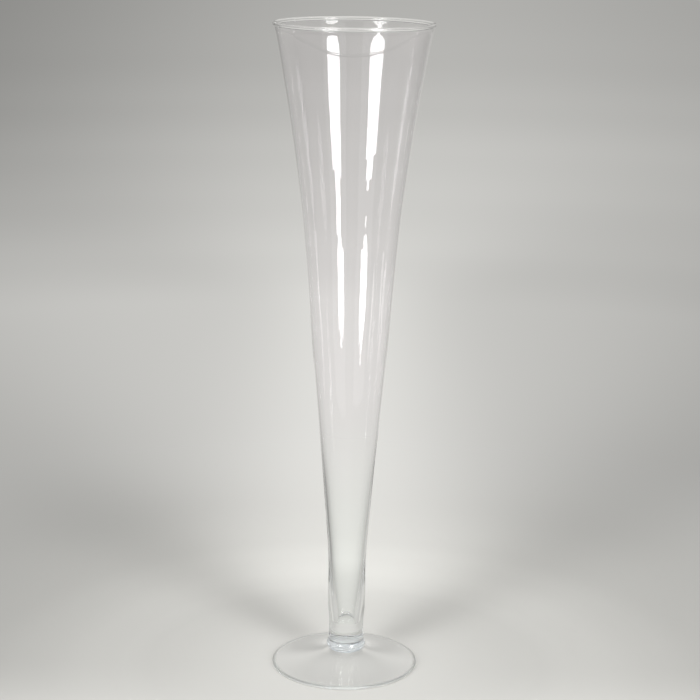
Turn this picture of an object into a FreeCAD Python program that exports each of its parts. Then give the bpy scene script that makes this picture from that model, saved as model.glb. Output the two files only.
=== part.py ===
import FreeCAD, Part
import Sketcher
import math
import os
from types import SimpleNamespace

# A tall footed trumpet vase of clear blown glass. It is made hot from four pieces of glass that
# are fused end to end along one upright axis. From the table up they are the foot, the collar,
# the solid peg with its domed top, and the trumpet-shaped bowl whose thick lower end is slipped
# over the peg. The peg's dome is the floor of the water space.
# The vase stands on z = 0 with its axis on the Z axis. Every piece is turned from a half section,
# drawn from its own lower end up, and is lifted to its place by its Placement.

# Driving sizes in millimetres. The two shares have no unit.
SIZES = {
    # the whole vase
    "vase_height": 610.0,
    "rim_radius": 73.0,
    # the foot, a thin low cone that stands on a flat ring
    "foot_radius": 69.0,
    "foot_rise": 15.0,
    "foot_edge_radius": 1.6,
    "foot_ring_width": 1.6,
    "foot_dome_radius": 21.0,
    "foot_sweep": 200.0,
    # the collar, a round-edged button of glass between the foot and the bowl
    "collar_height": 9.0,
    "collar_widest_rise": 5.0,
    "collar_overhang": 1.4,
    "collar_undercut": 2.8,
    # the peg
    "peg_radius": 8.5,
    "peg_side": 18.3,
    # the bowl's outside, from the collar up
    "base_flare": 0.5,
    "waist_rise": 12.0,
    "waist_depth": 1.3,
    "shoulder_curve": 60.0,
    "stem_radius": 17.6,
    "knee_rise": 88.0,
    "knee_curve": 300.0,
    "flare_rise_share": 0.58,
    "flare_reach_share": 0.44,
    # the bowl's inside, from the peg up
    "bore_rise": 24.0,
    "bore_curve": 60.0,
    "taper_rise": 19.0,
    "taper_curve": 200.0,
    "wall": 2.4,
    # the fire-polished lip
    "lip_radius": 1.9,
    "lip_blend": 1.2,
}

FULL_TURN = 360.0
UPWARD = FreeCAD.Vector(0, 1, 0)
FACING = FreeCAD.Vector(0, 0, 1)

# A sketch's own origin. A point level with it lies on the base line, and a point upright over it
# lies on the axis.
ORIGIN = (-1, 1)


class Size:
    """A length that carries its value and the spreadsheet expression that gives it."""

    def __init__(self, value, text):
        self.value = value
        self.text = text

    def __float__(self):
        return self.value

    def __add__(self, other):
        return Size(self.value + other.value, f"({self.text} + {other.text})")

    def __sub__(self, other):
        return Size(self.value - other.value, f"({self.text} - {other.text})")

    def __mul__(self, other):
        return Size(self.value * other.value, f"({self.text} * {other.text})")

    def half(self):
        return Size(self.value / 2, f"({self.text} / 2)")


mm = SimpleNamespace(**{name: Size(value, f"Sizes.{name}") for name, value in SIZES.items()})

# Sizes that follow from the driving ones: each neck and bead is given by how far it stands in or
# out from the piece beside it, so that neighbours always meet edge to edge.
waist_radius = mm.stem_radius - mm.waist_depth
base_radius = waist_radius + mm.base_flare
collar_radius = base_radius + mm.collar_overhang
pad_radius = collar_radius - mm.collar_undercut
bowl_base = mm.foot_rise + mm.collar_height
lip_centre_radius = mm.rim_radius - mm.lip_radius
lip_centre_rise = mm.vase_height - bowl_base - mm.lip_radius


def make_sheet(doc):
    """The spreadsheet that holds every driving size under its alias."""
    sheet = doc.addObject("Spreadsheet::Sheet", "Sizes")
    for row, (alias, value) in enumerate(SIZES.items(), start=1):
        sheet.set(f"A{row}", alias)
        sheet.set(f"B{row}", str(value))
        sheet.setAlias(f"B{row}", alias)
    doc.recompute()


def spot(radius, height):
    """A point of a half section, where x is the distance from the axis and y the height."""
    return FreeCAD.Vector(float(radius), float(height), 0)


def across(direction):
    """The unit vector square to a direction, on its right-hand side."""
    return FreeCAD.Vector(direction.y, -direction.x, 0).normalize()


def rounded(before, corner, after, radius):
    """Start, middle and end of the arc that rounds the corner between two straight runs."""
    back = (before - corner).normalize()
    ahead = (after - corner).normalize()
    half_angle = back.getAngle(ahead) / 2
    inward = (back + ahead).normalize()
    setback = float(radius) / math.tan(half_angle)
    depth = float(radius) / math.sin(half_angle) - float(radius)
    return corner + back * setback, corner + inward * depth, corner + ahead * setback


def bowed_centre(start, end, radius):
    """The centre of the arc of a given radius that passes left of the straight way."""
    chord = end - start
    reach = math.sqrt(float(radius) ** 2 - (chord.Length / 2) ** 2)
    return start + chord / 2 + across(chord) * reach


def bowed(start, end, radius):
    """Start, middle and end of the arc of a given radius that passes left of the straight way."""
    centre = bowed_centre(start, end, radius)
    return start, centre - across(end - start) * float(radius), end


def swept(start, direction, end):
    """Start, middle and end of the arc that leaves start in a direction and reaches end."""
    chord = end - start
    side = across(chord)
    if side.dot(direction) < 0:
        side = -side
    bulge = chord.Length / 2 * math.tan(chord.getAngle(direction) / 2)
    return start, start + chord / 2 + side * bulge, end


class Outline:
    """A closed half section in a body's XZ plane.

    Its pieces are drawn close to their places, then joined in order and held by constraints
    whose values are bound to the spreadsheet.
    """

    def __init__(self, body, name):
        self.sketch = body.newObject("Sketcher::SketchObject", name)
        planes = body.Origin.OriginFeatures
        upright = next(plane for plane in planes if plane.Role == "XZ_Plane")
        self.sketch.AttachmentSupport = [(upright, "")]
        self.sketch.MapMode = "FlatFace"
        self.pieces = {}

    def line(self, name, start, end):
        number = self.sketch.addGeometry(Part.LineSegment(start, end), False)
        self.pieces[name] = (number, 1, 2)

    def arc(self, name, start, through, end):
        """An arc by three points. A sketch keeps arcs anticlockwise, so its ends may swap."""
        anticlockwise = (through - start).cross(end - through).z > 0
        first, last = (start, end) if anticlockwise else (end, start)
        centre = Part.Circle(start, through, end).Center
        circle = Part.Circle(centre, FACING, (start - centre).Length)
        curve = Part.ArcOfCircle(circle, circle.parameter(first), circle.parameter(last))
        number = self.sketch.addGeometry(curve, False)
        self.pieces[name] = (number, 1, 2) if anticlockwise else (number, 2, 1)

    def guide(self, name, place):
        """A construction point, which only helps to place the pieces."""
        number = self.sketch.addGeometry(Part.Point(place), True)
        self.pieces[name] = (number, 1, 1)

    def curve(self, name):
        return self.pieces[name][0]

    def start(self, name):
        number, first, _ = self.pieces[name]
        return number, first

    def end(self, name):
        number, _, last = self.pieces[name]
        return number, last

    def centre(self, name):
        return self.curve(name), 3

    def relate(self, kind, *where):
        return self.sketch.addConstraint(Sketcher.Constraint(kind, *where))

    def join(self, *names, smooth=()):
        """Joins the pieces end to start in a ring: tangent after those in smooth, else a corner."""
        for name, following in zip(names, names[1:] + names[:1]):
            kind = "Tangent" if name in smooth else "Coincident"
            self.relate(kind, *self.end(name), *self.start(following))

    def bind(self, label, kind, *where, to):
        """A constraint with a value that is bound to a size."""
        number = self.relate(kind, *where, float(to))
        self.sketch.renameConstraint(number, label)
        self.sketch.setExpression(f"Constraints.{label}", to.text)

    def place(self, label, point, radius=None, height=None):
        if radius:
            self.bind(f"{label}_radius", "DistanceX", *ORIGIN, *point, to=radius)
        if height:
            self.bind(f"{label}_height", "DistanceY", *ORIGIN, *point, to=height)

    def turn(self, body):
        """The solid of revolution that the outline makes about its upright axis."""
        turned = body.newObject("PartDesign::Revolution", f"{self.sketch.Name}_turned")
        turned.Profile = self.sketch
        turned.ReferenceAxis = (self.sketch, ["V_Axis"])
        turned.Angle = FULL_TURN


def new_body(doc, label, height=None):
    """An empty body, lifted to its height above the table."""
    body = doc.addObject("PartDesign::Body", label)
    body.Label = label
    body.Placement = FreeCAD.Placement()
    if height:
        body.setExpression(".Placement.Base.z", height.text)
    return body


def make_foot(doc):
    """The foot: a flat ring to stand on, a round edge, and a hollow sweep up to the pad that
    carries the collar. The underside follows the sweep, as in a foot spun out of one gather, and
    closes in a shallow dome under the pad."""
    body = new_body(doc, "foot")
    outline = Outline(body, "foot_outline")
    ring_outer = mm.foot_radius - mm.foot_edge_radius
    ring_inner = ring_outer - mm.foot_ring_width

    heel = spot(ring_inner, 0)
    toe = spot(ring_outer, 0)
    edge_top = spot(ring_outer, mm.foot_edge_radius + mm.foot_edge_radius)
    pad_edge = spot(pad_radius, mm.foot_rise)
    pad_centre = spot(0, mm.foot_rise)
    sweep_centre = bowed_centre(edge_top, pad_edge, mm.foot_sweep)
    under_radius = (heel - sweep_centre).Length
    under_turn = math.asin((sweep_centre.x - float(mm.foot_dome_radius)) / under_radius)
    under_way = FreeCAD.Vector(-math.sin(under_turn), -math.cos(under_turn), 0)
    dome_edge = sweep_centre + under_way * under_radius
    dome_centre = dome_edge + under_way * (float(mm.foot_dome_radius) / math.sin(under_turn))
    crown = dome_centre + UPWARD * (dome_edge - dome_centre).Length

    outline.arc("dome", *swept(crown, across(UPWARD), dome_edge))
    outline.arc("under", *bowed(heel, dome_edge, under_radius)[::-1])
    outline.line("ring", heel, toe)
    outline.arc("edge", toe, spot(mm.foot_radius, mm.foot_edge_radius), edge_top)
    outline.arc("sweep", *bowed(edge_top, pad_edge, mm.foot_sweep))
    outline.line("pad", pad_edge, pad_centre)
    outline.line("axis", pad_centre, crown)
    ring = list(outline.pieces)
    outline.join(*ring, smooth=("dome", "ring", "edge"))

    outline.relate("Vertical", *outline.centre("dome"), *ORIGIN)
    outline.relate("Vertical", *outline.start("dome"), *ORIGIN)
    outline.relate("Vertical", *outline.end("pad"), *ORIGIN)
    outline.relate("Horizontal", *outline.start("ring"), *ORIGIN)
    outline.relate("Horizontal", outline.curve("ring"))
    outline.relate("Horizontal", outline.curve("pad"))
    outline.relate("Coincident", *outline.centre("under"), *outline.centre("sweep"))
    outline.place("dome_edge", outline.end("dome"), radius=mm.foot_dome_radius)
    outline.place("heel", outline.start("ring"), radius=ring_inner)
    outline.place("toe", outline.end("ring"), radius=ring_outer)
    outline.place("pad_edge", outline.start("pad"), radius=pad_radius, height=mm.foot_rise)
    outline.bind("edge_curve", "Radius", outline.curve("edge"), to=mm.foot_edge_radius)
    outline.bind("sweep_curve", "Radius", outline.curve("sweep"), to=mm.foot_sweep)
    outline.turn(body)
    return body


def make_collar(doc):
    """The collar: a solid button with a round side, as wide as the foot's pad underneath and as
    the bowl's base on top."""
    body = new_body(doc, "collar", height=mm.foot_rise)
    outline = Outline(body, "collar_outline")

    seat_edge = spot(pad_radius, 0)
    widest = spot(collar_radius, mm.collar_widest_rise)
    top_edge = spot(base_radius, mm.collar_height)
    top_centre = spot(0, mm.collar_height)

    outline.line("seat", spot(0, 0), seat_edge)
    outline.arc("under", *swept(widest, -UPWARD, seat_edge)[::-1])
    outline.arc("over", *swept(widest, UPWARD, top_edge))
    outline.line("top", top_edge, top_centre)
    outline.line("axis", top_centre, spot(0, 0))
    outline.join("seat", "under", "over", "top", "axis", smooth=("under",))

    outline.relate("Coincident", *outline.start("seat"), *ORIGIN)
    outline.relate("Vertical", *outline.end("top"), *ORIGIN)
    outline.relate("Horizontal", outline.curve("seat"))
    outline.relate("Horizontal", outline.curve("top"))
    outline.relate("Horizontal", *outline.centre("under"), *outline.end("under"))
    outline.place("seat_edge", outline.end("seat"), radius=pad_radius)
    outline.place("widest", outline.end("under"), radius=collar_radius, height=mm.collar_widest_rise)
    outline.place("top_edge", outline.start("top"), radius=base_radius, height=mm.collar_height)
    outline.turn(body)
    return body


def make_peg(doc):
    """The peg: a solid round rod on the collar, with a half ball as its top."""
    body = new_body(doc, "stem_peg", height=bowl_base)
    outline = Outline(body, "peg_outline")

    seat_edge = spot(mm.peg_radius, 0)
    spring = spot(mm.peg_radius, mm.peg_side)
    top = spot(0, mm.peg_side + mm.peg_radius)

    outline.line("seat", spot(0, 0), seat_edge)
    outline.line("side", seat_edge, spring)
    outline.arc("dome", *swept(spring, UPWARD, top))
    outline.line("axis", top, spot(0, 0))
    outline.join("seat", "side", "dome", "axis", smooth=("side",))

    outline.relate("Coincident", *outline.start("seat"), *ORIGIN)
    outline.relate("Horizontal", outline.curve("seat"))
    outline.relate("Vertical", outline.curve("side"))
    outline.relate("Vertical", *outline.end("dome"), *ORIGIN)
    outline.relate("Vertical", *outline.centre("dome"), *ORIGIN)
    outline.place("spring", outline.end("side"), radius=mm.peg_radius, height=mm.peg_side)
    outline.turn(body)
    return body


def make_bowl(doc):
    """The trumpet bowl. Outside, it narrows to a waist over the collar, swells to the stem,
    turns at the knee into a long cone and flares out to the rim. Inside, a straight bore fits
    the peg, then a short taper runs out into the thin wall that follows the outside. The wall
    ends in a round lip with a small hollow below it on both sides."""
    body = new_body(doc, "trumpet_bowl", height=bowl_base)
    outline = Outline(body, "bowl_outline")
    flare_radius = mm.stem_radius + (mm.rim_radius - mm.stem_radius) * mm.flare_reach_share
    flare_rise = mm.knee_rise + (lip_centre_rise - mm.knee_rise) * mm.flare_rise_share
    half_wall = mm.wall.half()
    rim_skin_radius = lip_centre_radius + half_wall

    bore_foot = spot(mm.peg_radius, 0)
    base_edge = spot(base_radius, 0)
    waist = spot(waist_radius, mm.waist_rise)
    turn_rise = math.sqrt(float(mm.shoulder_curve * mm.waist_depth))
    turning = spot(waist_radius + mm.waist_depth.half(), float(mm.waist_rise) + turn_rise)
    shoulder = spot(mm.stem_radius, float(turning.y) + turn_rise)
    knee = spot(mm.stem_radius, mm.knee_rise)
    flare_foot = spot(flare_radius, flare_rise)
    rim_skin = spot(rim_skin_radius, lip_centre_rise)
    lip_centre = spot(lip_centre_radius, lip_centre_rise)

    cone_way = (flare_foot - knee).normalize()
    inward = -across(cone_way) * float(mm.wall)
    chord_way = (rim_skin - flare_foot).normalize()
    rim_way = chord_way * (chord_way.dot(cone_way) * 2) - cone_way
    bore_corner = spot(mm.peg_radius, mm.bore_rise)
    taper_top = mm.bore_rise + mm.taper_rise
    taper_drop = float(mm.knee_rise - taper_top) + inward.y
    taper_corner = knee + inward - cone_way * (taper_drop / cone_way.y)

    def lip_root(side):
        """The hollow below the lip on one side of the wall, from the wall to the lip."""
        outward = across(rim_way) * side
        reach = float(half_wall + mm.lip_blend)
        slant = float(mm.lip_radius + mm.lip_blend)
        centre = lip_centre + outward * reach - rim_way * math.sqrt(slant ** 2 - reach ** 2)
        to_wall = -outward
        to_lip = (lip_centre - centre).normalize()
        middle = (to_wall + to_lip).normalize()
        return [centre + way * float(mm.lip_blend) for way in (to_wall, middle, to_lip)]

    outer_root = lip_root(1)
    inner_root = lip_root(-1)
    knee_arc = rounded(shoulder, knee, flare_foot, mm.knee_curve)
    taper_arc = rounded(bore_corner, taper_corner, flare_foot + inward, mm.taper_curve)
    bore_arc = rounded(bore_foot, bore_corner, taper_corner, mm.bore_curve)
    lip_top = lip_centre + rim_way * float(mm.lip_radius)

    outline.line("seat", bore_foot, base_edge)
    outline.arc("waist", base_edge, waist, turning)
    outline.arc("shoulder", *swept(shoulder, -UPWARD, turning)[::-1])
    outline.line("stem", shoulder, knee_arc[0])
    outline.arc("knee", *knee_arc)
    outline.line("cone", knee_arc[2], flare_foot)
    outline.arc("flare", *swept(flare_foot, cone_way, outer_root[0]))
    outline.arc("outer_root", *outer_root)
    outline.arc("lip", outer_root[2], lip_top, inner_root[2])
    outline.arc("inner_root", *inner_root[::-1])
    outline.arc("inner_flare", *swept(flare_foot + inward, cone_way, inner_root[0])[::-1])
    outline.line("inner_cone", flare_foot + inward, taper_arc[2])
    outline.arc("taper_turn", *taper_arc[::-1])
    outline.line("taper", taper_arc[0], bore_arc[2])
    outline.arc("bore_turn", *bore_arc[::-1])
    outline.line("bore", bore_arc[0], bore_foot)
    ring = list(outline.pieces)
    outline.join(*ring, smooth=[name for name in ring if name not in ("bore", "seat")])

    outline.relate("Horizontal", *outline.start("seat"), *ORIGIN)
    outline.relate("Horizontal", outline.curve("seat"))
    outline.relate("Vertical", outline.curve("stem"))
    outline.relate("Vertical", outline.curve("bore"))
    outline.place("bore_foot", outline.start("seat"), radius=mm.peg_radius)
    outline.place("base_edge", outline.end("seat"), radius=base_radius)
    outline.place("stem", outline.start("stem"), radius=mm.stem_radius)
    outline.place("flare_foot", outline.end("cone"), radius=flare_radius, height=flare_rise)
    outline.bind("shoulder_curve", "Radius", outline.curve("shoulder"), to=mm.shoulder_curve)
    outline.bind("knee_curve", "Radius", outline.curve("knee"), to=mm.knee_curve)

    # the waist's narrowest point is level with the centre of its curve
    outline.guide("narrowest", waist)
    outline.relate("PointOnObject", *outline.start("narrowest"), outline.curve("waist"))
    outline.relate("Horizontal", *outline.start("narrowest"), *outline.centre("waist"))
    outline.place("waist", outline.start("narrowest"), radius=waist_radius, height=mm.waist_rise)

    # where the stem and the cone would meet if the knee were sharp
    outline.guide("knee_corner", knee)
    outline.relate("PointOnObject", *outline.start("knee_corner"), outline.curve("stem"))
    outline.relate("PointOnObject", *outline.start("knee_corner"), outline.curve("cone"))
    outline.place("knee", outline.start("knee_corner"), height=mm.knee_rise)

    # the lip is a round bead on the middle of the wall
    outline.guide("rim_skin", rim_skin)
    outline.relate("PointOnObject", *outline.start("rim_skin"), outline.curve("flare"))
    outline.place("rim_skin", outline.start("rim_skin"), rim_skin_radius, lip_centre_rise)
    outline.place("lip", outline.centre("lip"), lip_centre_radius, lip_centre_rise)
    outline.bind("lip_curve", "Radius", outline.curve("lip"), to=mm.lip_radius)
    outline.bind("outer_blend", "Radius", outline.curve("outer_root"), to=mm.lip_blend)
    outline.bind("inner_blend", "Radius", outline.curve("inner_root"), to=mm.lip_blend)

    # the thin wall keeps its thickness along the flare and the cone
    outline.relate("Coincident", *outline.centre("inner_flare"), *outline.centre("flare"))
    outline.relate("Parallel", outline.curve("inner_cone"), outline.curve("cone"))
    cone = outline.curve("cone")
    outline.bind("wall", "Distance", *outline.start("inner_cone"), cone, to=mm.wall)

    # the corners that the taper's two ends would have if they were sharp
    outline.guide("taper_corner", taper_corner)
    outline.relate("PointOnObject", *outline.start("taper_corner"), outline.curve("inner_cone"))
    outline.relate("PointOnObject", *outline.start("taper_corner"), outline.curve("taper"))
    outline.place("taper_top", outline.start("taper_corner"), height=taper_top)
    outline.guide("bore_corner", bore_corner)
    outline.relate("PointOnObject", *outline.start("bore_corner"), outline.curve("bore"))
    outline.relate("PointOnObject", *outline.start("bore_corner"), outline.curve("taper"))
    outline.place("bore_top", outline.start("bore_corner"), height=mm.bore_rise)
    outline.bind("taper_curve", "Radius", outline.curve("taper_turn"), to=mm.taper_curve)
    outline.bind("bore_curve", "Radius", outline.curve("bore_turn"), to=mm.bore_curve)
    outline.turn(body)
    return body


def check(doc, bodies):
    """Stops if anything failed to build, if a sketch is loose, or if a body isn't one solid."""
    for item in doc.Objects:
        if "Invalid" in item.State or "Error" in item.State:
            raise RuntimeError(f"{item.Name} failed: {item.State}")
        if item.TypeId == "Sketcher::SketchObject" and not item.FullyConstrained:
            raise RuntimeError(f"{item.Name} isn't fully constrained")
    for body in bodies:
        shape = body.Shape
        if shape.isNull() or not shape.isValid() or len(shape.Solids) != 1:
            raise RuntimeError(f"{body.Label} isn't one valid solid")


doc = FreeCAD.newDocument("trumpet_vase")
make_sheet(doc)
bodies = [make_foot(doc), make_collar(doc), make_peg(doc), make_bowl(doc)]
doc.recompute()
check(doc, bodies)

os.makedirs("parts", exist_ok=True)
for body in bodies:
    body.Shape.exportStep(f"parts/{body.Label}.step")
    box = body.Shape.optimalBoundingBox(False)
    print(f"{body.Label}: {body.Shape.Volume:.1f} mm3, z {box.ZMin:.2f} to {box.ZMax:.2f},"
          f" widest radius {box.XMax:.2f}")
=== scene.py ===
import math
import random

import bmesh
import bpy
import numpy as np
from mathutils import Matrix, Vector


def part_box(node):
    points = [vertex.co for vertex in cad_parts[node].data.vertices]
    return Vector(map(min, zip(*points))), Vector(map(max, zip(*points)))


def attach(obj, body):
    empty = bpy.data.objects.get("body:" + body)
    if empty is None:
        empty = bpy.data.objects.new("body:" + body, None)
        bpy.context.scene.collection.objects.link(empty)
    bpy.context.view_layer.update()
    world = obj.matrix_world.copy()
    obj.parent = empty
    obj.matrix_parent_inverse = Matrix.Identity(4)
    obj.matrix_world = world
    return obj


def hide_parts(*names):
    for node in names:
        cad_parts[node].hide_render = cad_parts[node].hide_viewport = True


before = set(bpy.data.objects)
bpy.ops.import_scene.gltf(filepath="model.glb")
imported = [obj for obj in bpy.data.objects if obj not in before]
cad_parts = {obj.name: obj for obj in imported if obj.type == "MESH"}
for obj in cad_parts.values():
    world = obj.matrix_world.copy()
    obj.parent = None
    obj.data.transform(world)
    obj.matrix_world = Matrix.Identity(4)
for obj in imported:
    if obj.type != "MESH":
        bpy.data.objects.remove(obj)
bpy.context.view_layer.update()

# A tall footed trumpet vase of clear blown glass. Each of its four pieces is turned here as a fine
# mesh. The bowl and the collar have the slight unevenness of hand-made glass. Where two pieces are
# fused, the faces that meet are fully clear, so that light passes as it does through one body.
# Lengths are in metres, angles in degrees. Overall sizes come from the boxes of the CAD pieces in
# model.glb.

# the foot
FOOT_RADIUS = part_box("foot")[1].x
FOOT_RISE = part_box("foot")[1].z
FOOT_EDGE_RADIUS = 0.0016
FOOT_RING_WIDTH = 0.0016
FOOT_DOME_RADIUS = 0.021
FOOT_SWEEP = 0.2
# the hand-set disc isn't quite centred under the stem: its shift, whole from this radius on
FOOT_SHIFT = -0.0014
SHIFTED_FROM = 0.05
# the collar
COLLAR_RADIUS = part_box("collar")[1].x
COLLAR_FOOT_RADIUS = 0.0154
COLLAR_WIDEST_RISE = 0.005
# the peg
PEG_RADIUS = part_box("stem_peg")[1].x
PEG_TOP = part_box("stem_peg")[1].z
DOME_BASE = PEG_TOP - PEG_RADIUS
# the bowl
BOWL_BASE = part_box("trumpet_bowl")[0].z
RIM_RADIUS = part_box("trumpet_bowl")[1].x
VASE_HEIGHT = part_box("trumpet_bowl")[1].z
BASE_RADIUS = 0.0168
LIP_RADIUS = 0.0019
LIP_BLEND = 0.0006
WALL = 0.0013
# (height, radius) where the bowl's outside is measured, from its base to just under the lip
OUTSIDE = (
    (BOWL_BASE, BASE_RADIUS),
    (0.036, 0.0163),
    (0.046, 0.0165),
    (0.056, 0.0174),
    (0.068, 0.01765),
    (0.085, 0.0177),
    (0.1, 0.0176),
    (0.118, 0.0183),
    (0.15, 0.0208),
    (0.2, 0.0248),
    (0.26, 0.0302),
    (0.32, 0.0354),
    (0.4, 0.0419),
    (0.44, 0.0458),
    (0.48, 0.0509),
    (0.52, 0.0565),
    (0.56, 0.063),
    (0.59, 0.06815),
    (0.606, 0.0713),
)
# (height, radius) inside, from the dome's edge to where the wall is thin
INSIDE = (
    (DOME_BASE, PEG_RADIUS),
    (0.05, 0.009),
    (0.058, 0.0102),
    (0.068, 0.0115),
    (0.08, 0.0128),
    (0.1, 0.0142),
    (0.12, 0.0155),
    (0.14, 0.0173),
    (0.16, 0.0191),
    (0.2, 0.023),
    (0.25, 0.0278),
    (0.31, 0.0332),
)
THIN_FROM = 0.31

# the bowl's ripple: how far it goes in and out, its waves as (count around, length up), and the
# heights over which it sets in above the plain stem
UNEVEN_SIZE = 0.00012
UNEVEN_WAVES = ((2, 0.3), (4, 0.17), (7, 0.11), (11, 0.19))
UNEVEN_FROM = (0.08, 0.25)
UNEVEN_SEED = 5
# the least and most that one wave counts for
WAVE_SHARES = (0.6, 1.0)
# the collar's own lumps, given as seed, size and waves
COLLAR_UNEVEN = (3, 0.0005, ((3, 0.05), (5, 0.03), (8, 0.06)))

# faces round each piece, the rings' spacing up a wall, and the points of its arcs
SEGMENTS = 240
RING_SPACING = 0.004
ARC_STEPS = 24
SWEEP_STEPS = 40
UNDER_STEPS = 36
FOOT_DOME_STEPS = 16
BEAD_STEPS = 36
ROOT_STEPS = 7
# edges sharper than this, in degrees, are shaded as edges
SHARP_FROM = 35
# where the foot's round edge runs into its sweep, in degrees above its middle
EDGE_END = 85


def spline(stations, heights):
    """Radii at the given heights on the smooth curve through (height, radius) stations."""
    z, r = np.array(stations).T
    gap = np.diff(z)
    slope = np.diff(r) / gap
    bend = np.zeros(len(z))
    inner = np.diag(2 * (gap[:-1] + gap[1:]))
    inner += np.diag(gap[1:-1], 1) + np.diag(gap[1:-1], -1)
    bend[1:-1] = np.linalg.solve(inner, 6 * np.diff(slope))
    at = np.clip(np.searchsorted(z, heights, side="right") - 1, 0, len(gap) - 1)
    t = (heights - z[at]) / gap[at]
    low, high = bend[at], bend[at + 1]
    curve = (t ** 3 - t) * high + ((1 - t) ** 3 - (1 - t)) * low
    return r[at] + t * (r[at + 1] - r[at]) + curve * gap[at] ** 2 / 6


def run(stations, low, high):
    """Points (radius, height) up a smooth curve, evenly spaced."""
    heights = np.linspace(low, high, max(3, round((high - low) / RING_SPACING)))
    return [(radius, height) for radius, height in zip(spline(stations, heights), heights)]


def arc(centre, radius, start, end, steps=ARC_STEPS):
    """Points (radius, height) round a circle from one angle to another, 0 facing outwards."""
    angles = np.radians(np.linspace(start, end, steps))
    return [(centre[0] + radius * math.cos(a), centre[1] + radius * math.sin(a)) for a in angles]


def unevenness(seed, size, waves, share_at):
    """A gentle random ripple over angle and height, as a hand-worked surface has. share_at
    gives how much of it there is at a height.
    """
    chance = random.Random(seed)
    parts = []
    for around, tall in waves:
        share = chance.uniform(*WAVE_SHARES)
        turn = chance.uniform(0, math.tau)
        parts.append((around, math.tau / tall * chance.choice((-1, 1)), share, turn))
    total = sum(share for _, _, share, _ in parts)

    def ripple(angle, radius, height):
        value = 0
        for around, up, share, turn in parts:
            value = value + share * np.sin(around * angle + up * height + turn)
        return size * value / total * share_at(height)

    return ripple


def ease(value, start, end):
    """0 before start, 1 after end, with a smooth way between them."""
    t = np.clip((value - start) / (end - start), 0, 1)
    return t * t * (3 - 2 * t)


def centred(radius, height):
    """No shift sideways."""
    return 0


def turned(name, runs, ring, ripple, nodes, finishes, shift=centred):
    """Turns a half section into a closed mesh that replaces a CAD node.

    runs is a list of (points, finish number), each run starting where the last one ended. With
    ring the outline closes on itself, else both its ends lie on the axis. ripple gives the
    shift outwards of a point by its angle, radius and height, and shift a ring's own shift
    sideways by its radius and height.
    """
    outline, kinds = [], []
    for points, kind in runs:
        outline += points[:-1]
        kinds += [kind] * (len(points) - 1)
    if not ring:
        outline.append(runs[-1][0][-1])
    angles = np.arange(SEGMENTS) * math.tau / SEGMENTS

    mesh = bmesh.new()
    rows = []
    for radius, height in outline:
        if radius < 1e-9:
            rows.append([mesh.verts.new((0, 0, height))] * SEGMENTS)
            continue
        reach = radius + ripple(angles, radius, height)
        xs, ys = reach * np.sin(angles) + shift(radius, height), -reach * np.cos(angles)
        rows.append([mesh.verts.new((x, y, height)) for x, y in zip(xs, ys)])
    if ring:
        rows.append(rows[0])
    for low, high, kind in zip(rows, rows[1:], kinds):
        for i in range(SEGMENTS):
            j = (i + 1) % SEGMENTS
            corners = dict.fromkeys((low[i], low[j], high[j], high[i]))
            mesh.faces.new(corners).material_index = kind
    bmesh.ops.recalc_face_normals(mesh, faces=mesh.faces)
    data = bpy.data.meshes.new(name)
    mesh.to_mesh(data)
    mesh.free()
    data.shade_smooth()
    data.set_sharp_from_angle(angle=math.radians(SHARP_FROM))
    for finish in finishes:
        data.materials.append(finish)
    piece = bpy.data.objects.new(name, data)
    bpy.context.scene.collection.objects.link(piece)
    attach(piece, "root")
    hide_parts(*nodes)
    return piece


class Net:
    """Adds nodes to a material in the order they are worked out."""

    def __init__(self, material):
        material.use_nodes = True
        self.nodes, self.links = material.node_tree.nodes, material.node_tree.links
        self.shader = self.nodes["Principled BSDF"]
        self.output = self.nodes["Material Output"]

    def node(self, kind, **settings):
        node = self.nodes.new(kind)
        for name, value in settings.items():
            setattr(node, name, value)
        return node

    def plug(self, value, socket):
        if isinstance(value, bpy.types.NodeSocket):
            self.links.new(value, socket)
        else:
            socket.default_value = value

    def calc(self, operation, *values):
        node = self.node("ShaderNodeMath", operation=operation)
        for value, socket in zip(values, node.inputs):
            self.plug(value, socket)
        return node.outputs[0]

    def total(self, first, *rest):
        for value in rest:
            first = self.calc("ADD", first, value)
        return first

    def blend(self, share, low, high):
        """A number between low and high by share."""
        node = self.node("ShaderNodeMix")
        for value, socket in zip((share, low, high), ("Factor", "A", "B")):
            self.plug(value, node.inputs[socket])
        return node.outputs[0]

    def ramp(self, value, start, end, low, high):
        """A smooth step from low to high as value goes from start to end."""
        node = self.node("ShaderNodeMapRange", interpolation_type="SMOOTHSTEP")
        for given, socket in zip((value, start, end, low, high), node.inputs):
            self.plug(given, socket)
        return node.outputs[0]

    def bell(self, value, width):
        """1 at 0, falling off like a bell curve."""
        part = self.calc("DIVIDE", value, width)
        return self.calc("EXPONENT", self.calc("MULTIPLY", self.calc("MULTIPLY", part, part), -0.5))


# the numbers of a piece's finishes
GLASS, JOINT, WORN = 0, 1, 2
IOR = 1.5
# the lip is a little matt from use
LIP_COLOUR = (0.98, 0.98, 0.98)
LIP_ROUGHNESS = 0.18
# the collar is bluish, and scatters a little
COLLAR_COLOUR = (0.88, 0.94, 1.0)
COLLAR_ROUGHNESS = 0.05
COLLAR_CLEARNESS = 0.85
FOOT_COLOUR = (0.997, 1.0, 0.996)
# heights between which the bowl's tint changes
TINT_FROM = (0.1, 0.3)
STEM_COLOUR = (0.99, 1.0, 0.992)
WALL_COLOUR = (1.0, 0.99, 0.998)
# the foot's edge is matt all round; its front is painted pale and milky, as a painted light line, up to
# the first of these depths, and clear from the second on
PALE_FRONT_FROM = (-0.03, 0.02)
WORN_ROUGHNESS = 0.3
PALE_FRONT_CLEARNESS = 0.7
PALE_FRONT_COLOUR = (0.9, 0.92, 0.9)
CLEAR_COLOUR = (0.98, 0.99, 0.98)


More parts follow.
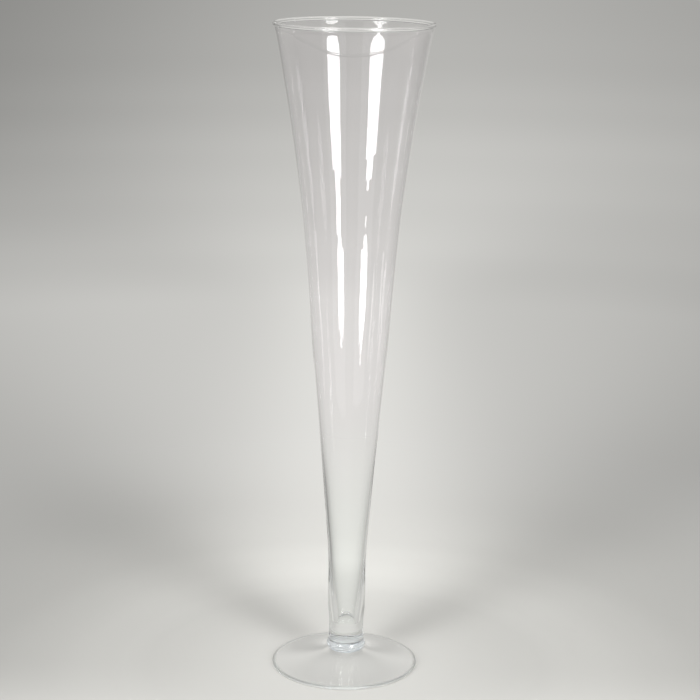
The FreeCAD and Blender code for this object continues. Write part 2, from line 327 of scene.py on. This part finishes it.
def foot_runs():
    """A thin disc that sweeps up to the collar, hollow below so that only its edge touches."""
    ring_outer = FOOT_RADIUS - FOOT_EDGE_RADIUS
    ring_inner = ring_outer - FOOT_RING_WIDTH
    edge = arc((ring_outer, FOOT_EDGE_RADIUS), FOOT_EDGE_RADIUS, -90, EDGE_END)
    pad = (COLLAR_FOOT_RADIUS, FOOT_RISE)
    rim = edge[-1]
    chord = math.hypot(rim[0] - pad[0], rim[1] - pad[1])
    sag = FOOT_SWEEP - math.sqrt(FOOT_SWEEP ** 2 - chord ** 2 / 4)
    # the underside runs round the sweep's own centre, and closes in a shallow dome on the axis
    lean = math.atan2(pad[1] - rim[1], rim[0] - pad[0])
    reach = FOOT_SWEEP - sag
    centre_radius = (rim[0] + pad[0]) / 2 + math.sin(lean) * reach
    centre_height = (rim[1] + pad[1]) / 2 + math.cos(lean) * reach
    rim_turn = math.degrees(math.asin((centre_radius - rim[0]) / FOOT_SWEEP))
    pad_turn = math.degrees(math.asin((centre_radius - pad[0]) / FOOT_SWEEP))
    sweep = arc((centre_radius, centre_height), FOOT_SWEEP, -90 - rim_turn, -90 - pad_turn, SWEEP_STEPS)
    under_radius = math.hypot(centre_radius - ring_inner, centre_height)
    heel_turn = math.degrees(math.asin((centre_radius - ring_inner) / under_radius))
    dome_turn = math.degrees(math.asin((centre_radius - FOOT_DOME_RADIUS) / under_radius))
    under_ends = (-90 - dome_turn, -90 - heel_turn)
    under = arc((centre_radius, centre_height), under_radius, *under_ends, UNDER_STEPS)
    dome_radius = FOOT_DOME_RADIUS / math.sin(math.radians(dome_turn))
    dome_height = under[0][1] - dome_radius * math.cos(math.radians(dome_turn))
    dome = arc((0, dome_height), dome_radius, 90, 90 - dome_turn, FOOT_DOME_STEPS)
    ring = [under[-1], (ring_outer, 0)]
    return [
        (dome, GLASS),
        (under, GLASS),
        (ring, WORN),
        (edge, WORN),
        (sweep, GLASS),
        ([pad, (0, FOOT_RISE)], JOINT),
    ]


def collar_runs():
    """A bead whose side is round, and widest a little above its middle."""
    widest = FOOT_RISE + COLLAR_WIDEST_RISE

    def bead_side(edge_radius, edge_height):
        """The angle and radius of the round side from its widest point to one edge."""
        inset, rise = COLLAR_RADIUS - edge_radius, abs(edge_height - widest)
        radius = (inset ** 2 + rise ** 2) / (2 * inset)
        return radius, math.degrees(math.asin(rise / radius))

    low, low_turn = bead_side(COLLAR_FOOT_RADIUS, FOOT_RISE)
    high, high_turn = bead_side(BASE_RADIUS, BOWL_BASE)
    under = arc((COLLAR_RADIUS - low, widest), low, -low_turn, 0)
    over = arc((COLLAR_RADIUS - high, widest), high, 0, high_turn)
    return [
        ([(0, FOOT_RISE), under[0]], JOINT),
        (under, GLASS),
        (over, GLASS),
        ([over[-1], (0, BOWL_BASE)], JOINT),
    ]


def peg_runs():
    """A plain rod with a half round top."""
    dome = arc((0, DOME_BASE), PEG_RADIUS, 0, 90)
    return [
        ([(0, BOWL_BASE), (PEG_RADIUS, BOWL_BASE)], JOINT),
        ([(PEG_RADIUS, BOWL_BASE), dome[0]], JOINT),
        (dome, GLASS),
    ]


def bowl_runs():
    """The bowl's outline. The lip is a round bead on the wall's end, with a small hollow below
    it on both sides.
    """
    lip = (RIM_RADIUS - LIP_RADIUS, VASE_HEIGHT - LIP_RADIUS)
    tilt = math.degrees(math.atan2(OUTSIDE[-1][1] - OUTSIDE[-2][1], OUTSIDE[-1][0] - OUTSIDE[-2][0]))
    reach = WALL / 2 + LIP_BLEND
    slant = LIP_RADIUS + LIP_BLEND
    open_angle = math.degrees(math.asin(reach / slant))
    back = math.sqrt(slant ** 2 - reach ** 2)

    def root(side):
        """The hollow's centre, side 1 outside the wall and -1 inside."""
        way = math.radians(-90 - tilt)
        across = math.radians(-tilt)
        return (
            lip[0] + math.cos(way) * back + side * math.cos(across) * reach,
            lip[1] + math.sin(way) * back + side * math.sin(across) * reach,
        )

    outer_root = arc(root(1), LIP_BLEND, 180 - tilt, 90 - tilt + open_angle, ROOT_STEPS)
    inner_root = arc(root(-1), LIP_BLEND, 90 - tilt - open_angle, -tilt, ROOT_STEPS)
    bead = arc(lip, LIP_RADIUS, -90 - tilt + open_angle, 270 - tilt - open_angle, BEAD_STEPS)
    outside = run(OUTSIDE, BOWL_BASE, outer_root[0][1])
    outside[-1] = outer_root[0]
    thin = INSIDE[-1:] + tuple(
        (height, radius - WALL) for height, radius in OUTSIDE if height > THIN_FROM
    )
    inside = run(INSIDE[:-1] + thin, DOME_BASE, inner_root[-1][1])[::-1]
    inside[0] = inner_root[-1]
    return [
        ([(PEG_RADIUS, BOWL_BASE), outside[0]], JOINT),
        (outside, GLASS),
        (outer_root, WORN),
        (bead, WORN),
        (inner_root, WORN),
        (inside, GLASS),
        ([inside[-1], (PEG_RADIUS, BOWL_BASE)], JOINT),
    ]


def clear_glass(name, colour, roughness=0.0, clearness=1.0):
    """Clear blown glass with a faint tint. Where it is worn matt, clearness is below 1."""
    material = bpy.data.materials.new(name)
    material.use_nodes = True
    shader = material.node_tree.nodes["Principled BSDF"]
    shader.inputs["Base Color"].default_value = (*colour, 1)
    shader.inputs["Roughness"].default_value = roughness
    shader.inputs["IOR"].default_value = IOR
    shader.inputs["Transmission Weight"].default_value = clearness
    return material


def bowl_glass():
    """The bowl's glass: a trace of green in the thick stem and a trace of pink in the thin wall."""
    material = clear_glass("clear_glass", (1, 1, 1))
    net = Net(material)
    place = net.node("ShaderNodeSeparateXYZ")
    net.links.new(net.node("ShaderNodeNewGeometry").outputs["Position"], place.inputs[0])
    upper = net.ramp(place.outputs["Z"], *TINT_FROM, 0.0, 1.0)
    tint = net.node("ShaderNodeCombineColor")
    for socket, low, high in zip(tint.inputs, STEM_COLOUR, WALL_COLOUR):
        net.plug(net.blend(upper, low, high), socket)
    net.links.new(tint.outputs[0], net.shader.inputs["Base Color"])
    return material


def matt_edge_pale_front():
    """The foot's edge and ring, matt all round, with their front painted pale and milky as a painted
    light line.
    """
    material = clear_glass("matt_edge_pale_front", (1, 1, 1), WORN_ROUGHNESS)
    net = Net(material)
    place = net.node("ShaderNodeSeparateXYZ")
    net.links.new(net.node("ShaderNodeNewGeometry").outputs["Position"], place.inputs[0])
    # painted light: the edge's front is made pale and milky, its back stays clear
    front = net.ramp(place.outputs["Y"], *PALE_FRONT_FROM, 1.0, 0.0)
    net.plug(net.blend(front, 1.0, PALE_FRONT_CLEARNESS), net.shader.inputs["Transmission Weight"])
    tint = net.node("ShaderNodeCombineColor")
    for socket, worn_and_pale, clear in zip(tint.inputs, PALE_FRONT_COLOUR, CLEAR_COLOUR):
        net.plug(net.blend(front, clear, worn_and_pale), socket)
    net.links.new(tint.outputs[0], net.shader.inputs["Base Color"])
    return material


def fused_joint():
    """The fully clear faces inside the glass where two pieces are fused."""
    material = bpy.data.materials.new("fused_joint")
    material.use_nodes = True
    shader = material.node_tree.nodes["Principled BSDF"]
    shader.inputs["Alpha"].default_value = 0
    return material


def build_vase():
    joint = fused_joint()
    finishes = (bowl_glass(), joint)
    bluish = (clear_glass("collar_glass", COLLAR_COLOUR, COLLAR_ROUGHNESS, COLLAR_CLEARNESS), joint)
    pressed = (clear_glass("foot_glass", FOOT_COLOUR), joint)
    worn_and_pale = (matt_edge_pale_front(),)
    lip = (clear_glass("lip_glass", LIP_COLOUR, LIP_ROUGHNESS),)

    def still(angles, radius, height):
        return 0

    def off_centre(radius, height):
        return FOOT_SHIFT * ease(radius, COLLAR_FOOT_RADIUS, SHIFTED_FROM)

    def above_stem(height):
        return ease(height, *UNEVEN_FROM)

    def between_joints(height):
        return math.sin(math.pi * (height - FOOT_RISE) / (BOWL_BASE - FOOT_RISE))

    uneven = unevenness(UNEVEN_SEED, UNEVEN_SIZE, UNEVEN_WAVES, above_stem)
    lumpy = unevenness(*COLLAR_UNEVEN, between_joints)
    turned("foot_glass", foot_runs(), False, still, ["foot"], pressed + worn_and_pale, off_centre)
    turned("collar_glass", collar_runs(), False, lumpy, ["collar"], bluish)
    turned("peg_glass", peg_runs(), False, still, ["stem_peg"], finishes)
    turned("bowl_glass", bowl_runs(), True, uneven, ["trumpet_bowl"], finishes + lip)


# the camera stands straight in front of the vase and looks down on it, a little askew
CAMERA_AWAY = 1.747
CAMERA_HEIGHT = 0.736
CAMERA_PITCH = 13.73
CAMERA_ROLL = 0.80
LENS = 99.77


def add_camera():
    data = bpy.data.cameras.new("camera")
    data.lens = LENS
    camera = bpy.data.objects.new("camera", data)
    turn = Matrix.Rotation(math.radians(90 - CAMERA_PITCH), 4, "X")
    roll = Matrix.Rotation(math.radians(CAMERA_ROLL), 4, "Z")
    camera.matrix_world = Matrix.Translation((0, -CAMERA_AWAY, CAMERA_HEIGHT)) @ turn @ roll
    bpy.context.scene.collection.objects.link(camera)
    bpy.context.scene.camera = camera


# the sweep: its flat floor, the curve up to its wall, its wall's top, and its faces
FLOOR_REACH = 1.7
SWEEP_RADIUS = 1.4
WALL_TOP = 2.4
SWEEP_SIDES = 96
SWEEP_RINGS = 25
# the foot's flat ring and the floor would share one plane, so the floor lies a hair below it
FLOOR_GAP = 0.0002
# the backdrop's painted lightness straight behind the vase, by the distance from it: a painted pool of
# light
BACK_STOPS = (
    (0.0, 0.71),
    (0.12, 0.72),
    (0.15, 0.74),
    (0.18, 0.77),
    (0.215, 0.835),
    (0.25, 0.86),
    (0.3, 0.835),
    (0.36, 0.79),
    (0.5, 0.775),
    (0.9, 0.755),
    (1.6, 0.74),
    (1.95, 0.67),
    (2.2, 0.61),
    (2.36, 0.57),
    (2.5, 0.51),
    (2.62, 0.465),
    (2.75, 0.44),
)
BACK_DEPTH = 3.2
BACK_TINT = (1.0, 0.992, 0.955)
# how much of that painted lightness is left far to the sides
SIDE_SHARE = 0.58
# painted shade: to the glass only, the backdrop at the vase's left is painted darker, as if the room's
# darker end lay there
DARK_SHARE = 0.3
DARK_FROM = (-0.25, -0.02)
# the painted pool of light behind the vase: its breadth in degrees, and across at three depths
GLOW_ANGLE = 22.0
NEAR_GLOW_WIDTH = 0.16
GLOW_WIDTH = 0.1
WALL_GLOW_WIDTH = 0.3
GLOW_FROM = (0.25, 0.5)
WALL_GLOW_FROM = (1.6, 2.6)
# glass shows the painted pool as broad near the foot, and as even light further back
EVEN_FROM = (0.3, 0.9)
# the paper round the foot, its level painted lighter to the left by the slope, and how far it reaches
NEAR_LEVEL = 0.7
NEAR_SLOPE = -0.2
NEAR_REACH = 0.11
# the painted pool of light on the paper in front of the vase: its level, its breadth across and deep,
# the depths over which it ends towards the vase, and the distances over which it gets lighter
FRONT_LEVEL = 0.92
FRONT_SIZE = (0.4, 0.8)
FRONT_FROM = (-0.2, 0.0)
FRONT_LEVEL_FROM = (0.15, 0.7)
# the wall's painted lightness high up, and that of its upper edge and of the ceiling, as glass shows it
TOP_LEVEL = 0.82
TOP_FROM = (0.6, 1.3)
WORLD_SHOWN = 0.45
EDGE_FROM = 1.3
# painted shadows: the vase's two soft shadows, painted on the paper on top of the ones it casts, run
# back from the foot, away from the two lamps
SHADOW_TURN = 33.0
SHADOW_BREADTH = 9.0
SHADOW_DEPTH = 0.13
SHADOW_FROM = (0.05, 0.1)
# and the collar's painted soft shadow lies right under it, wider than deep
COLLAR_SHADOW_AT = 0.022
COLLAR_SHADOW_SIZE = (0.028, 0.014)
COLLAR_SHADOW_DEPTH = 0.12
# the painted light leans to one side or the other with the depth, as (start, end, low, high) steps
LEANS = ((0.3, 0.7, 0.12, -0.1), (1.6, 2.4, 0.0, 0.3))
# the share of its colour, painted light and shadows included, that the paper shows as its own glow
# whatever the light, near the foot, to glass and to the camera, and the distances over which it grows to
# the whole
SHOWN_SHARES = (0.9, 0.45)
SHOWN_FROM = (0.2, 0.75)


def backdrop_material():
    """Pale paper with painted light and shade. To the camera and through glass it glows with a painted
    pool of light, brightest behind the vase, and with painted shadows, and near the foot part of it
    stays plain paper that takes the real shadow.
    """
    material = bpy.data.materials.new("sweep")
    net = Net(material)
    place = net.node("ShaderNodeSeparateXYZ")
    net.links.new(net.node("ShaderNodeNewGeometry").outputs["Position"], place.inputs[0])
    x, y = place.outputs["X"], place.outputs["Y"]

    radius = net.calc("POWER", net.total(net.calc("MULTIPLY", x, x), net.calc("MULTIPLY", y, y)), 0.5)
    turn = net.calc("ABSOLUTE", net.calc("ARCTAN2", x, y))

    # painted light: the backdrop's lightness behind the vase, by the distance from it
    stops = net.node("ShaderNodeValToRGB")
    stops.color_ramp.interpolation = "EASE"
    elements = stops.color_ramp.elements
    for index, (distance, level) in enumerate(BACK_STOPS):
        stop = elements[index] if index < 2 else elements.new(distance / BACK_DEPTH)
        stop.position = distance / BACK_DEPTH
        stop.color = (level, level, level, 1)
    net.plug(net.calc("DIVIDE", radius, BACK_DEPTH), stops.inputs[0])
    back = stops.outputs["Color"]

    # the painted pool of light behind the vase, as the camera and the glass see it
    wide = net.bell(turn, math.radians(GLOW_ANGLE))
    path = net.node("ShaderNodeLightPath")
    width = net.total(
        net.ramp(y, *GLOW_FROM, NEAR_GLOW_WIDTH, GLOW_WIDTH),
        net.ramp(y, *WALL_GLOW_FROM, 0.0, WALL_GLOW_WIDTH),
    )
    narrow = net.bell(x, width)
    through = net.blend(net.ramp(radius, *EVEN_FROM, 0.0, 1.0), wide, 1.0)
    narrow = net.blend(path.outputs["Is Camera Ray"], through, narrow)
    glow = net.calc("MULTIPLY", net.total(wide, narrow), 0.5)
    # painted shade: darker to the vase's left, for the glass only
    left = net.ramp(x, *DARK_FROM, DARK_SHARE, SIDE_SHARE)
    side_share = net.blend(path.outputs["Is Camera Ray"], left, SIDE_SHARE)
    far = net.calc("MULTIPLY", back, net.blend(glow, side_share, 1.0))
    front = net.calc("MULTIPLY", net.bell(x, FRONT_SIZE[0]), net.bell(y, FRONT_SIZE[1]))
    front = net.calc("MULTIPLY", front, net.ramp(y, *FRONT_FROM, 1.0, 0.0))
    near = net.total(net.calc("MULTIPLY", x, NEAR_SLOPE), NEAR_LEVEL)
    # painted light: the paper's level round the foot, and the painted pool of light in front of the vase
    level = net.blend(net.bell(radius, NEAR_REACH), far, near)
    level = net.blend(front, level, net.ramp(radius, *FRONT_LEVEL_FROM, NEAR_LEVEL, FRONT_LEVEL))
    # painted shadow right under the collar
    under = net.bell(net.calc("SUBTRACT", y, COLLAR_SHADOW_AT), COLLAR_SHADOW_SIZE[1])
    under = net.calc("MULTIPLY", net.bell(x, COLLAR_SHADOW_SIZE[0]), under)
    level = net.calc("MULTIPLY", level, net.total(net.calc("MULTIPLY", under, -COLLAR_SHADOW_DEPTH), 1.0))
    # painted shadows that run back from the foot
    aside = net.calc("SUBTRACT", turn, math.radians(SHADOW_TURN))
    shadow = net.bell(aside, math.radians(SHADOW_BREADTH))
    shadow = net.calc("MULTIPLY", shadow, net.ramp(radius, *SHADOW_FROM, 0.0, SHADOW_DEPTH))
    level = net.calc("MULTIPLY", level, net.calc("SUBTRACT", 1.0, shadow))
    # painted light that leans to one side with the depth
    lean = net.total(*(net.ramp(y, *step) for step in LEANS))
    lean = net.calc("MULTIPLY", x, lean)
    level = net.calc("MULTIPLY", level, net.total(lean, 1.0))
    # painted light: the wall lighter high up, and its upper edge at the ceiling's level
    high = net.ramp(place.outputs["Z"], *TOP_FROM, 0.0, 1.0)
    level = net.blend(high, level, TOP_LEVEL)
    edge = net.ramp(place.outputs["Z"], EDGE_FROM, WALL_TOP, 0.0, 1.0)
    level = net.blend(edge, level, WORLD_SHOWN)

    tint = net.node("ShaderNodeCombineColor")
    for socket, share in zip(tint.inputs, BACK_TINT):
        net.plug(net.calc("MULTIPLY", level, share), socket)
    colour = tint.outputs[0]

    paper = net.node("ShaderNodeBsdfDiffuse")
    net.links.new(colour, paper.inputs["Color"])
    shown = net.node("ShaderNodeEmission")
    net.links.new(colour, shown.inputs["Color"])
    rays = ("Is Camera Ray", "Is Glossy Ray", "Is Transmission Ray")
    seen = net.calc("MINIMUM", net.total(*(path.outputs[ray] for ray in rays)), 1.0)
    share = net.blend(path.outputs["Is Camera Ray"], *SHOWN_SHARES)
    share = net.ramp(radius, *SHOWN_FROM, share, 1.0)
    mix = net.node("ShaderNodeMixShader")
    net.plug(net.calc("MULTIPLY", seen, share), mix.inputs["Fac"])
    net.links.new(paper.outputs[0], mix.inputs[1])
    net.links.new(shown.outputs[0], mix.inputs[2])
    net.links.new(mix.outputs[0], net.output.inputs["Surface"])
    net.nodes.remove(net.shader)
    material.cycles.emission_sampling = "NONE"
    return material


def add_backdrop():
    """A round studio sweep: a pale floor that curves up into a wall on every side."""
    profile = [(radius, -FLOOR_GAP) for radius in np.linspace(0, FLOOR_REACH, SWEEP_RINGS)]
    profile += arc((FLOOR_REACH, SWEEP_RADIUS - FLOOR_GAP), SWEEP_RADIUS, -90, 0, SWEEP_RINGS)[1:]
    profile.append((FLOOR_REACH + SWEEP_RADIUS, WALL_TOP))
    mesh = bmesh.new()
    rows = []
    for radius, height in profile:
        if radius == 0:
            rows.append([mesh.verts.new((0, 0, height))] * SWEEP_SIDES)
            continue
        ways = [math.tau * i / SWEEP_SIDES for i in range(SWEEP_SIDES)]
        rows.append([mesh.verts.new((radius * math.sin(a), radius * math.cos(a), height)) for a in ways])
    for low, high in zip(rows, rows[1:]):
        for i in range(SWEEP_SIDES):
            j = (i + 1) % SWEEP_SIDES
            mesh.faces.new(dict.fromkeys((low[i], low[j], high[j], high[i])))
    data = bpy.data.meshes.new("sweep")
    mesh.to_mesh(data)
    mesh.free()
    data.shade_smooth()
    data.materials.append(backdrop_material())
    sweep = bpy.data.objects.new("sweep", data)
    bpy.context.scene.collection.objects.link(sweep)


def panel_material(radiance):
    """The light of a lamp for what glass mirrors, and for what it lets through to the paper.
    The lamp isn't seen straight through the glass, as it isn't seen beside it either.
    """
    material = bpy.data.materials.new("lamp_panel")
    net = Net(material)
    path = net.node("ShaderNodeLightPath")
    bounces = net.total(path.outputs["Glossy Depth"], path.outputs["Diffuse Depth"])
    front = net.calc("SUBTRACT", 1.0, net.node("ShaderNodeNewGeometry").outputs["Backfacing"])
    shown = net.calc("MULTIPLY", net.calc("GREATER_THAN", bounces, 0.5), front)
    light = net.node("ShaderNodeEmission")
    net.plug(net.calc("MULTIPLY", shown, radiance), light.inputs["Strength"])
    both = net.node("ShaderNodeAddShader")
    net.links.new(light.outputs[0], both.inputs[0])
    net.links.new(net.node("ShaderNodeBsdfTransparent").outputs[0], both.inputs[1])
    net.links.new(both.outputs[0], net.output.inputs["Surface"])
    net.nodes.remove(net.shader)
    material.cycles.emission_sampling = "NONE"
    return material


def facing(azimuth, away, height):
    """A place on a circle round the vase, turned to its axis. Azimuth 0 is behind the camera."""
    turn = math.radians(azimuth)
    place = Vector((math.sin(turn) * away, -math.cos(turn) * away, height))
    face = Vector((place.x, place.y, 0)).to_track_quat("Z", "Y")
    return Matrix.Translation(place) @ face.to_matrix().to_4x4()


def add_panel(name, azimuth, away, width, low, high, figure):
    """What glass shows in the place of a lamp."""
    shape = bpy.data.meshes.new(name + "_panel")
    x, y = width / 2, (high - low) / 2
    shape.from_pydata([(-x, -y, 0), (x, -y, 0), (x, y, 0), (-x, y, 0)], [], [(3, 2, 1, 0)])
    shape.materials.append(panel_material(figure * PANEL_SHARE))
    panel = bpy.data.objects.new(name + "_panel", shape)
    panel.matrix_world = facing(azimuth, away, (low + high) / 2)
    panel.visible_camera = panel.visible_diffuse = panel.visible_shadow = False
    bpy.context.scene.collection.objects.link(panel)


def add_lamp(name, azimuth, away, width, low, high, figure):
    """A soft rectangular lamp that lights the paper, and its panel."""
    data = bpy.data.lights.new(name, "AREA")
    data.shape = "RECTANGLE"
    data.size = width
    data.size_y = high - low
    data.energy = figure * math.pi * width * (high - low)
    lamp = bpy.data.objects.new(name, data)
    lamp.matrix_world = facing(azimuth, away, (low + high) / 2)
    lamp.visible_camera = lamp.visible_glossy = lamp.visible_transmission = False
    bpy.context.scene.collection.objects.link(lamp)
    add_panel(name, azimuth, away, width, low, high, figure)


# the studio's soft light, and its colour
WORLD_LIGHT = 0.8
WORLD_COLOUR = (1, 1, 0.98)
LAMP_AWAY = 1.5
# a lamp's power is pi times its figure and area, and its radiance a quarter of power per area
PANEL_SHARE = math.pi / 4
# the two lamps' parts as (azimuth, width, low, high, figure), tapered where the light ends
LAMP_PARTS = (
    (29, 0.42, 0.21, 0.37, 24),
    (29, 0.16, 0.185, 0.21, 24),
    (30, 0.22, 0.37, 0.4, 24),
    (33, 0.28, 0.4, 0.565, 12),
    (34.5, 0.3, 0.565, 0.63, 13),
    (35.5, 0.54, 0.63, 1.03, 13),
    (35.5, 0.42, 1.03, 1.07, 13),
    (35.5, 0.2, 1.07, 1.09, 13),
    (-35, 0.44, 0.2, 0.37, 24),
    (-35, 0.16, 0.165, 0.2, 24),
    (-36, 0.2, 0.37, 0.4, 24),
    (-36.5, 0.09, 0.42, 0.46, 8),
    (-37, 0.12, 0.565, 0.6, 13),
    (-38, 0.36, 0.6, 0.66, 13),
    (-39, 0.58, 0.66, 1.02, 13),
    (-39, 0.42, 1.02, 1.06, 13),
    (-39, 0.26, 1.06, 1.1, 13),
    (-39, 0.1, 1.1, 1.18, 13),
)
# a dim broad glow just behind each lamp, its size as (width, low, high)
GLOW_TURN = 34
GLOW_AWAY = LAMP_AWAY + 0.02
GLOW_SIZE = (1.1, 0.1, 1.4)
GLOW_FIGURE = 0.6
# low strips at the vase's sides, in the same order of numbers, that show only in its glass
STRIPS_AWAY = 2.0
SIDE_STRIPS = (
    (104.5, 0.13, 0.06, 0.29, 2.2),
    (-98, 0.15, 0.07, 0.24, 3.2),
    (-66, 0.13, 0.09, 0.265, 3.2),
)


def add_lights():
    for number, (azimuth, *part) in enumerate(LAMP_PARTS):
        add_lamp(f"lamp_part_{number}", azimuth, LAMP_AWAY, *part)
    for side, name in ((1, "right_glow"), (-1, "left_glow")):
        add_lamp(name, side * GLOW_TURN, GLOW_AWAY, *GLOW_SIZE, GLOW_FIGURE)
    for number, (azimuth, *strip) in enumerate(SIDE_STRIPS):
        add_panel(f"side_strip_{number}", azimuth, STRIPS_AWAY, *strip)


def add_world():
    """The studio's soft light. Glass shows it dimmer than it lights the paper."""
    world = bpy.data.worlds.new("studio")
    world.use_nodes = True
    nodes, links = world.node_tree.nodes, world.node_tree.links
    nodes["Background"].inputs["Color"].default_value = (*WORLD_COLOUR, 1)
    path = nodes.new("ShaderNodeLightPath")
    mirrored = nodes.new("ShaderNodeMath")
    mirrored.operation = "MAXIMUM"
    links.new(path.outputs["Is Glossy Ray"], mirrored.inputs[0])
    links.new(path.outputs["Is Transmission Ray"], mirrored.inputs[1])
    level = nodes.new("ShaderNodeMapRange")
    links.new(mirrored.outputs[0], level.inputs["Value"])
    level.inputs["To Min"].default_value = WORLD_LIGHT
    level.inputs["To Max"].default_value = WORLD_SHOWN
    links.new(level.outputs[0], nodes["Background"].inputs["Strength"])
    bpy.context.scene.world = world


build_vase()
add_camera()
add_backdrop()
add_lights()
add_world()
bpy.context.scene.view_settings.view_transform = "Standard"
# light goes through and round the inside of solid glass many times before it leaves
INSIDE_BOUNCES = 64
GLOSSY_BOUNCES = 16
paths = bpy.context.scene.cycles
paths.max_bounces = paths.transmission_bounces = paths.transparent_max_bounces = INSIDE_BOUNCES
paths.glossy_bounces = GLOSSY_BOUNCES
